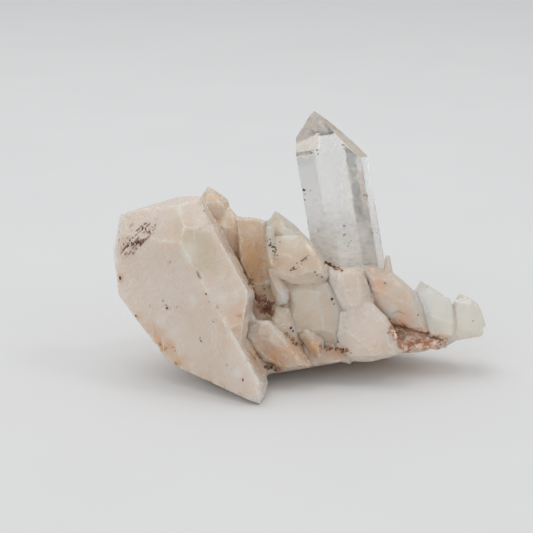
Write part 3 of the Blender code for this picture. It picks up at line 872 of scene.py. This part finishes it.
def grain_field(spots, widths, seed):
    """Irregular flattened grains half sunk in what carries them, as one set of points and faces.

    A grain is a ball of rings and columns with radius width / 2 * (1 + noise), stretched by 0.8 to 1.5
    along each of its axes, then by 1 / 1.2 across and by 0.5 out of the surface.
    """
    maker = np.random.default_rng(seed)
    rings, columns = 4, 6
    polar = np.linspace(0, pi, rings + 1)[1:-1]
    turn = np.arange(columns) * 2 * pi / columns
    ball = np.array([[sin(p) * cos(t), sin(p) * sin(t), cos(p)] for p in polar for t in turn])
    ball = np.concatenate([[[0, 0, 1]], ball, [[0, 0, -1]]])
    last = len(ball) - 1
    faces = [(0, 1 + k, 1 + (k + 1) % columns) for k in range(columns)]
    for ring in range(rings - 2):
        start = 1 + ring * columns
        for k in range(columns):
            a, b = start + k, start + (k + 1) % columns
            faces += [(a, a + columns, b + columns), (a, b + columns, b)]
    start = last - columns
    faces += [(last, start + (k + 1) % columns, start + k) for k in range(columns)]
    count = len(spots)
    places = np.array([s[0] for s in spots])
    out = np.array([s[1] for s in spots])
    side, across = cross_axes(maker, out)
    size = np.array(widths)[:, None] * MM / 2
    shape = ball[None] * (1 + maker.uniform(-0.3, 0.3, (count, len(ball), 1)))
    long, wide, tall = maker.uniform(0.8, 1.5, (3, count, 1))
    spread = (shape[:, :, :1] * (long * size)[:, None] * side[:, None]
              + shape[:, :, 1:2] * (wide * size / 1.2)[:, None] * across[:, None]
              + shape[:, :, 2:] * (tall * size * 0.5)[:, None] * out[:, None])
    return (places[:, None] + spread).reshape(-1, 3), repeated(faces, count, len(ball))


def row_grains(maker, rows, least, most):
    """Pixels and widths of grains along rows of pixels, least to most times as wide as the row says."""
    wanted = []
    for start, end, count, width, spread in rows:
        share = maker.uniform(0, 1, count)[:, None]
        line = np.array(start) * (1 - share) + np.array(end) * share
        line += maker.normal(0, spread * 0.5, (count, 2))
        wanted += [(a, d, w) for (a, d), w in zip(line, width * maker.uniform(least, most, count))]
    return wanted


def on_surface(wanted, scale=1.0):
    """Places on the cluster, and widths, of the grains whose pixels show some of it."""
    found = [(seen_at(across, down), scale * width) for across, down, width in wanted]
    return [hit for hit, _ in found if hit], [width for hit, width in found if hit]


def inward(turn, rise):
    """The direction that looks in from a heading and from a height, both in degrees."""
    turn, rise = radians(turn), radians(rise)
    return -Vector((cos(turn) * cos(rise), sin(turn) * cos(rise), sin(rise)))


def grain_spots():
    """Places of the dark grains: those seen from the front, the rows, and a thin scatter behind."""
    maker = np.random.default_rng(11)
    wanted = GRAINS + row_grains(maker, ROWS, 0.5, 1.3)
    spots, widths = on_surface(wanted, GRAIN_SIZE)
    look = bpy.context.scene.quartz_dirt
    while len(spots) < len(wanted) + look.scatter:
        way = inward(maker.uniform(*BEHIND), maker.uniform(*LOOSE_RISES))
        aim = Vector(maker.uniform(*SCATTER_BOX)) * MM
        found = first_hit(aim - way * RAY_START, way)
        if found:
            spots.append(found)
            widths.append(maker.uniform(*LOOSE_WIDTHS))
    return spots, widths


# Rows of rusty crumbs and of small brown specks: start, end, count, width in mm, spread in pixels
CRUMBS = [
    ((392, 328), (406, 352), 46, 0.85, 4.0), ((404, 342), (440, 347), 90, 0.8, 5.0),
    ((424, 346), (446, 340), 40, 0.7, 3.0),
]
SPECKS = [
    ((259, 298), (272, 316), 46, 0.5, 5.0), ((318, 346), (350, 352), 34, 0.4, 2.5),
    ((286, 334), (300, 346), 22, 0.38, 3.0), ((325, 263), (342, 271), 26, 0.45, 1.6),
    ((262, 366), (286, 372), 22, 0.36, 1.6), ((247, 276), (254, 290), 26, 0.42, 2.0),
]


def crumb_spots(rows):
    """Places and widths of crumbs, spread along rows of pixels seen from the front."""
    return on_surface(row_grains(np.random.default_rng(23), rows, 0.4, 1.4))


def rock_spots(count, seed, low, high):
    """Places on the bare rock, looking in from behind and from low to high degrees above."""
    maker = np.random.default_rng(seed)
    own = search_tree([frame["nodes"]["iron_stained_matrix"]])
    spots = []
    for _ in range(count * 12):
        way = inward(maker.uniform(*BEHIND), maker.uniform(low, high))
        start = Vector(maker.uniform(*ROCK_BOX)) * MM - way * RAY_START
        point, normal, _, reach = own.ray_cast(start, way)
        if point is not None and tree.ray_cast(start, way)[3] > reach - 1e-6 and point.z > 1.5 * MM:
            spots.append((np.array(point), np.array(normal if normal.dot(way) < 0 else -normal)))
        if len(spots) == count:
            break
    return spots


def small_points(spots, widths, lengths, seed):
    """Small six-sided quartz points that stand on the rock, as one set of points and faces.

    Each is a ring of six at its foot and one at its shoulder, radius = width / 2 * (1 + noise), a tip off
    the middle, and a middle point in the foot. Foot, shoulder and tip lie at -l / 2, l - 0.625 w and l on
    an axis that leans from the rock's normal, mostly by less than 35 degrees.
    """
    maker = np.random.default_rng(seed)
    count = len(spots)
    places, out = np.array([s[0] for s in spots]), np.array([s[1] for s in spots])
    lean = out + 0.45 * maker.normal(size=(count, 3)) + np.array([0, 0, 0.35])
    lean /= np.linalg.norm(lean, axis=1, keepdims=True)
    side, across = cross_axes(maker, lean)
    turn = np.arange(6) * pi / 3
    cosine, sine = np.cos(turn), np.sin(turn)
    width, length = np.array(widths)[:, None] * MM / 2, np.array(lengths)[:, None] * MM
    rings = []
    for level in (-0.5 * length, length - 1.25 * width):
        radius = width * (1 + maker.uniform(-0.18, 0.18, (count, 6)))
        ring = (radius * cosine)[:, :, None] * side[:, None] + (radius * sine)[:, :, None] * across[:, None]
        uneven = width[:, :, None] * maker.uniform(-0.25, 0.25, (count, 6, 1)) * (level > 0)[:, :, None]
        rings.append(ring + (level[:, :, None] + uneven) * lean[:, None])
    tip = (length * lean + width * maker.uniform(-0.35, 0.35, (count, 1)) * side)[:, None]
    foot = (-0.5 * length * lean)[:, None]
    points = np.concatenate([foot, *rings, tip], axis=1) + places[:, None]
    faces = []
    for k in range(6):
        a, b = 1 + k, 1 + (k + 1) % 6
        faces += [(0, b, a), (a, b, b + 6), (a, b + 6, a + 6), (a + 6, b + 6, 13)]
    return points.reshape(-1, 3), repeated(faces, count, points.shape[1])


# Veils of bubbles in the tall crystal: height, slant, reach in mm, count
BUBBLE_VEILS = [(29, 0.25, 4.2, 90), (26, -0.3, 4.6, 120), (31.5, 0.1, 2.4, 40)]
# The loose cloud of them: lowest height, how far up it goes, reach in mm, count
BUBBLE_CLOUD = (21, 13, 5.2, 260)
VEIL_WIDTHS, CLOUD_WIDTHS = (0.06, 0.22), (0.05, 0.2)


def on_disc(maker, reach, count):
    """Random places on a disc of so many mm, as two coordinates."""
    turn, far = maker.uniform(0, 2 * pi, count), reach * MM * np.sqrt(maker.uniform(0, 1, count))
    return (far * np.cos(turn))[:, None], (far * np.sin(turn))[:, None]


def bubble_spots():
    """Places inside the tall crystal: thin tilted veils across it, and a loose cloud above its root."""
    maker = np.random.default_rng(31)
    mesh = frame["nodes"]["tall_clear_crystal"].data
    points = np.array([v.co for v in mesh.vertices])
    axis = long_axis(points)
    axis *= np.sign(axis[2])
    middle = (points.min(axis=0) + points.max(axis=0)) / 2
    side = np.cross(axis, (0, 1, 0))
    side /= np.linalg.norm(side)
    across = np.cross(axis, side)
    spots, widths = [], []
    for height, lean, reach, count in BUBBLE_VEILS:
        start = middle + axis * (height * MM - middle[2]) / axis[2]
        u, v = on_disc(maker, reach, count)
        level = lean * u + 0.5 * MM * np.sin(v / (1.6 * MM))
        spots += list(start + u * side + v * across + level * axis)
        widths += list(maker.uniform(*VEIL_WIDTHS, count))
    low, rise, reach, count = BUBBLE_CLOUD
    height = low + rise * maker.uniform(0, 1, count) ** 1.6
    start = middle + axis * ((height * MM - middle[2]) / axis[2])[:, None]
    u, v = on_disc(maker, reach, count)
    spots += list(start + u * side + v * across)
    widths += list(maker.uniform(*CLOUD_WIDTHS, count))
    return [(spot, axis) for spot in spots], widths


def add_grains(name, spots, widths, seed, finish, slot="iron_stained_matrix"):
    """One piece made of grains of one finish."""
    points, faces = grain_field(spots, widths, seed)
    mesh_piece(name, points, faces, finishes()[finish], {}, GRAIN_SHARP)


# Settings that a user would change

class QuartzCrystalSettings(bpy.types.PropertyGroup):
    fineness: FloatProperty(
        name="Fineness", description="Longest mesh edge at a crease", default=0.3 * MM, min=0.1 * MM,
        subtype="DISTANCE", unit="LENGTH")
    chipping: FloatProperty(
        name="Chipping", description="Depth of the chips along worn edges", default=0.45 * MM, min=0,
        subtype="DISTANCE", unit="LENGTH")
    milk: FloatVectorProperty(
        name="Milk", description="Colour of veils and worn edges", default=shade(250, 246, 240), size=3,
        subtype="COLOR", min=0, max=1)
    # Dark colour of heavy iron stain on the quartz, and of the painted shade deep in the rock's crevices
    dirt: FloatVectorProperty(
        name="Crevice dirt", description="Colour deep between crystals", default=shade(128, 84, 56), size=3,
        subtype="COLOR", min=0, max=1)


class QuartzDirtSettings(bpy.types.PropertyGroup):
    scatter: IntProperty(
        name="Scatter", description="Loose grains on the sides that face away", default=90, min=0)
    small_points: IntProperty(
        name="Small points", description="Small quartz points on the rock behind", default=150, min=1)


class QuartzStageSettings(bpy.types.PropertyGroup):
    floor: FloatVectorProperty(
        name="Floor", description="Colour of the floor", default=(0.80, 0.80, 0.80), size=3,
        subtype="COLOR", min=0, max=1)
    sky: FloatProperty(name="Sky", description="Brightness of the white surroundings", default=0.64, min=0)
    key: FloatProperty(name="Overhead", description="Watts of the overhead panel", default=1.35, min=0)
    fill: FloatProperty(name="Front fill", description="Watts of the front panel", default=0.5, min=0)
    spark: FloatProperty(name="Side spark", description="Watts of the side panel", default=0.18, min=0)
    lens: FloatProperty(name="Lens", description="Focal length in millimetres", default=110, min=10)
    rise: FloatProperty(name="View height", description="Degrees that the camera looks down", default=16)


# Operators, one for each piece or group of like pieces

class QUARTZ_OT_crystals(bpy.types.Operator):
    """Add the crystals seen from the front, with worn edges, growth lines, stains, veils and a painted
    highlight
    """

    bl_idname = "quartz.crystals"
    bl_label = "Front crystals"

    def execute(self, context):
        for node, values in CRYSTALS.items():
            worn_crystal(node, *values)
        return {"FINISHED"}


class QUARTZ_OT_rear_crystals(bpy.types.Operator):
    """Add the crystals behind, with sharper edges"""

    bl_idname = "quartz.rear_crystals"
    bl_label = "Rear crystals"

    def execute(self, context):
        for node, looks in REAR_CRYSTALS.items():
            worn_crystal(node, *looks, *REAR_WEAR)
        return {"FINISHED"}


class QUARTZ_OT_matrix(bpy.types.Operator):
    """Add the rough iron-stained rock that carries the crystals"""

    bl_idname = "quartz.matrix"
    bl_label = "Matrix rock"

    def execute(self, context):
        rough_matrix("iron_stained_matrix")
        return {"FINISHED"}


class QUARTZ_OT_dirt(bpy.types.Operator):
    """Add the dark grains, rusty crumbs and brown specks that sit on the finished crystals and rock"""

    bl_idname = "quartz.dirt"
    bl_label = "Dirt grains"

    def execute(self, context):
        graph = context.evaluated_depsgraph_get()
        objects = context.scene.objects
        worn = [obj for obj in objects if obj.name.endswith("_worn") or obj.name == "rough_matrix"]
        if not worn:
            raise RuntimeError("add the crystals and the rock before the dirt")
        surfaces[:] = [BVHTree.FromObject(obj, graph) for obj in worn]
        add_grains("dirt_grains", *grain_spots(), 5, "dirt")
        add_grains("rusty_crumbs", *crumb_spots(CRUMBS), 6, "rust")
        add_grains("brown_specks", *crumb_spots(SPECKS), 8, "brown")
        return {"FINISHED"}


class QUARTZ_OT_small_points(bpy.types.Operator):
    """Add the small quartz points that stand on the rock behind the crystals"""

    bl_idname = "quartz.small_points"
    bl_label = "Small quartz points"

    def execute(self, context):
        look = context.scene.quartz_dirt
        spots = rock_spots(look.small_points, 41, -5, 60)
        maker = np.random.default_rng(43)
        widths = maker.uniform(0.8, 2.0, len(spots))
        lengths = widths * maker.uniform(0.7, 1.5, len(spots))
        points, faces = small_points(spots, widths, lengths, 44)
        values = {"height": points[:, 2] / MM}
        material = finishes()["druse_quartz"]
        mesh_piece("small_points", points, faces, material, values, POINT_SHARP)
        return {"FINISHED"}


class QUARTZ_OT_bubbles(bpy.types.Operator):
    """Add the veils of tiny bubbles inside the tall clear crystal"""

    bl_idname = "quartz.bubbles"
    bl_label = "Veils of bubbles"

    def execute(self, context):
        add_grains("bubble_veils", *bubble_spots(), 7, "bubbles", "milky_quartz")
        return {"FINISHED"}


# The floor, a disc: corners of its rim, rings, and reach in metres
FLOOR_SIDES, FLOOR_RINGS, FLOOR_REACH = 96, 12, 3.0
# Name: place and width in metres, then the setting that holds its power
PANELS = {
    "overhead_panel": ((-0.14, 0.20, 0.74), 0.55, "key"),
    "fill_panel": ((-0.22, -0.60, 0.34), 0.45, "fill"),
    "spark_panel": ((0.30, -0.05, 0.50), 0.10, "spark"),
}


class QUARTZ_OT_stage(bpy.types.Operator):
    """Add the pale floor, the soft light and the camera"""

    bl_idname = "quartz.stage"
    bl_label = "Stage"

    def execute(self, context):
        look = context.scene.quartz_stage
        turns = np.linspace(0, 2 * pi, FLOOR_SIDES + 1)[:-1]
        turn, reach = np.meshgrid(turns, np.linspace(0.02, FLOOR_REACH, FLOOR_RINGS), indexing="ij")
        under = np.full_like(turn, -0.02 * MM)
        points = np.stack([reach * np.cos(turn), reach * np.sin(turn), under], axis=2).reshape(-1, 3)
        number = np.arange(FLOOR_SIDES * FLOOR_RINGS).reshape(FLOOR_SIDES, FLOOR_RINGS)
        onward = np.roll(number, -1, axis=0)
        quads = np.stack([number[:, :-1], number[:, 1:], onward[:, 1:], onward[:, :-1]], axis=2)
        mesh = bpy.data.meshes.new("floor")
        mesh.from_pydata(points, [], [list(number[:, 0])] + quads.reshape(-1, 4).tolist())
        w = Wiring("floor_paper")
        clouded = tuple(c * 0.985 for c in look.floor)
        w.set(Base_Color=w.mix(w.span(w.clouds(60, 3), 0.3, 0.7), tuple(look.floor), clouded))
        w.set(Roughness=0.9, Specular_IOR_Level=0.2)
        mesh.materials.append(w.material)
        floor = placed("floor", mesh)
        world = bpy.data.worlds.new("white_room")
        world.use_nodes = True
        world.node_tree.nodes["Background"].inputs["Color"].default_value = (0.98, 0.99, 1.0, 1)
        world.node_tree.nodes["Background"].inputs["Strength"].default_value = look.sky
        context.scene.world = world
        for name, (place, width, setting) in PANELS.items():
            data = bpy.data.lights.new(name, "AREA")
            data.shape = "SQUARE"
            data.size = width
            data.energy = getattr(look, setting)
            light = placed(name, data)
            light.location = place
            toward = Vector((0, 0, 0.02)) - light.location
            light.rotation_euler = toward.to_track_quat("-Z", "Y").to_euler()
        data = bpy.data.cameras.new("camera")
        data.lens = look.lens
        data.sensor_width = SENSOR_WIDTH
        data.clip_start = 0.01
        camera = placed("camera", data)
        camera.location = camera_place()
        camera.rotation_euler = (radians(90 - look.rise), 0, 0)
        context.scene.camera = camera
        context.scene.view_settings.view_transform = "Standard"
        return {"FINISHED"}


STEPS = [QUARTZ_OT_crystals, QUARTZ_OT_rear_crystals, QUARTZ_OT_matrix, QUARTZ_OT_small_points,
         QUARTZ_OT_bubbles, QUARTZ_OT_dirt, QUARTZ_OT_stage]


class QUARTZ_PT_panel(bpy.types.Panel):
    bl_label = "Quartz crystal cluster"
    bl_space_type = "VIEW_3D"
    bl_region_type = "UI"
    bl_category = "Quartz"

    def draw(self, context):
        for group in (context.scene.quartz_crystals, context.scene.quartz_dirt, context.scene.quartz_stage):
            box = self.layout.box()
            for key in group.__annotations__:
                box.prop(group, key)
        for step in STEPS:
            self.layout.operator(step.bl_idname)


GROUPS = {
    "quartz_crystals": QuartzCrystalSettings,
    "quartz_dirt": QuartzDirtSettings,
    "quartz_stage": QuartzStageSettings,
}


def register():
    for name, group in GROUPS.items():
        bpy.utils.register_class(group)
        setattr(bpy.types.Scene, name, PointerProperty(type=group))
    for step in [*STEPS, QUARTZ_PT_panel]:
        bpy.utils.register_class(step)


def unregister():
    for step in [QUARTZ_PT_panel, *reversed(STEPS)]:
        bpy.utils.unregister_class(step)
    for name, group in GROUPS.items():
        delattr(bpy.types.Scene, name)
        bpy.utils.unregister_class(group)


def main():
    register()
    for step in STEPS:
        group, name = step.bl_idname.split(".")
        getattr(getattr(bpy.ops, group), name)()


if __name__ == "__main__":
    main()
